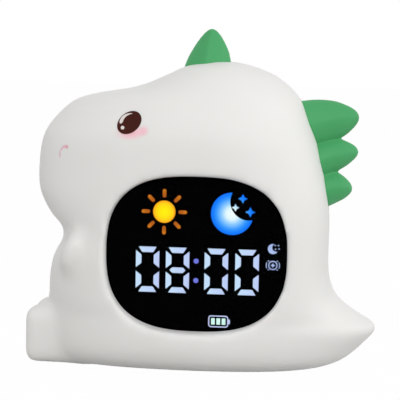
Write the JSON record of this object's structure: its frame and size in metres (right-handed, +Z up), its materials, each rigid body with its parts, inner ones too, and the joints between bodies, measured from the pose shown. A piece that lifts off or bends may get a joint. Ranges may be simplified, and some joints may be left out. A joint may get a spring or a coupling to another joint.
{
  "type": "alarm clock with night light",
  "caption": "Dinosaur-shaped silicone bedside clock with a lit display in its front window; speaker grille, keys, slide switch and charging socket in the rear window; lamp in the head.",
  "frame": {"origin": "centre of the anti-slip pad's lower face, on the table", "axes": "+Z up, the display faces -Y, the snout points to -X and the tail to +X"},
  "size_m": [0.1544, 0.078, 0.1504],
  "materials": {
    "white_silicone": "satin",
    "green_silicone": "satin",
    "tinted_lens": "polished",
    "black_plastic": "matte",
    "white_plastic": "fine texture",
    "key_plastic": "satin",
    "pale_blue_resin": "lit",
    "blue_resin": "lit",
    "violet_resin": "lit",
    "yellow_resin": "lit",
    "green_white_resin": "lit",
    "circuit_board": "solder mask",
    "component_plastic": "moulded",
    "lamp_resin": "clear",
    "diffuser_plastic": "frosted",
    "steel": "zinc plated",
    "magnet_iron": "plated",
    "cell_can": "sleeved",
    "pad_rubber": "fine texture",
    "cable_sleeve": "satin",
    "speaker_paper": "paper"
  },
  "bodies": {
    "clock": {"antislip_pad": "pad_rubber", "back_spikes": "green_silicone", "base_plate": "white_plastic", "base_screws": "steel", "battery_cable": "cable_sleeve", "battery_cell": "cell_can", "battery_cradle": "white_plastic", "battery_icon": "green_white_resin", "battery_plug": "component_plastic", "board_screws": "steel", "colon_dots": "violet_resin", "control_chip": "component_plastic", "digit_segments": "pale_blue_resin", "display_board": "circuit_board", "display_leds": "lamp_resin", "display_mask": "black_plastic", "display_ribbon": "cable_sleeve", "display_screws": "steel", "front_housing": "white_plastic", "front_lens": "tinted_lens", "head_spike": "green_silicone", "housing_screws": "steel", "lamp_board": "circuit_board", "lamp_cable": "cable_sleeve", "lamp_diffuser": "diffuser_plastic", "lamp_leds": "lamp_resin", "lamp_saddle": "white_plastic", "lamp_screws": "steel", "main_board": "circuit_board", "moon_icon": "blue_resin", "power_switch": "component_plastic", "rear_housing": "white_plastic", "silicone_skin": "white_silicone", "speaker_cone": "speaker_paper", "speaker_frame": "steel", "speaker_magnet": "magnet_iron", "status_icons": "pale_blue_resin", "sun_icon": "yellow_resin", "tact_switches": "component_plastic", "tap_sensor": "component_plastic", "unlit_segments": "black_plastic", "usb_socket": "steel", "usb_tongue": "component_plastic"},
    "key_set_body": {"key_set": "key_plastic"},
    "key_down_body": {"key_down": "key_plastic"},
    "key_up_body": {"key_up": "key_plastic"},
    "key_alarm_body": {"key_alarm": "key_plastic"},
    "key_light_body": {"key_light": "key_plastic"},
    "key_sound_body": {"key_sound": "key_plastic"},
    "switch_body": {"switch_knob": "component_plastic"}
  },
  "joints": [
    {"name": "key_set_press", "type": "slide", "parent": "clock", "child": "key_set_body", "axis": [0, -1, 0], "range_m": [0, 0.0008], "stiffness_N_per_m": 600, "springref_m": -0.0003},
    {"name": "key_down_press", "type": "slide", "parent": "clock", "child": "key_down_body", "axis": [0, -1, 0], "range_m": [0, 0.0008], "stiffness_N_per_m": 600, "springref_m": -0.0003},
    {"name": "key_up_press", "type": "slide", "parent": "clock", "child": "key_up_body", "axis": [0, -1, 0], "range_m": [0, 0.0008], "stiffness_N_per_m": 600, "springref_m": -0.0003},
    {"name": "key_alarm_press", "type": "slide", "parent": "clock", "child": "key_alarm_body", "axis": [0, -1, 0], "range_m": [0, 0.0008], "stiffness_N_per_m": 600, "springref_m": -0.0003},
    {"name": "key_light_press", "type": "slide", "parent": "clock", "child": "key_light_body", "axis": [0, -1, 0], "range_m": [0, 0.0008], "stiffness_N_per_m": 600, "springref_m": -0.0003},
    {"name": "key_sound_press", "type": "slide", "parent": "clock", "child": "key_sound_body", "axis": [0, -1, 0], "range_m": [0, 0.0008], "stiffness_N_per_m": 600, "springref_m": -0.0003},
    {"name": "power_switch_slide", "type": "slide", "parent": "clock", "child": "switch_body", "axis": [1, 0, 0], "range_m": [0, 0.003]}
  ]
}
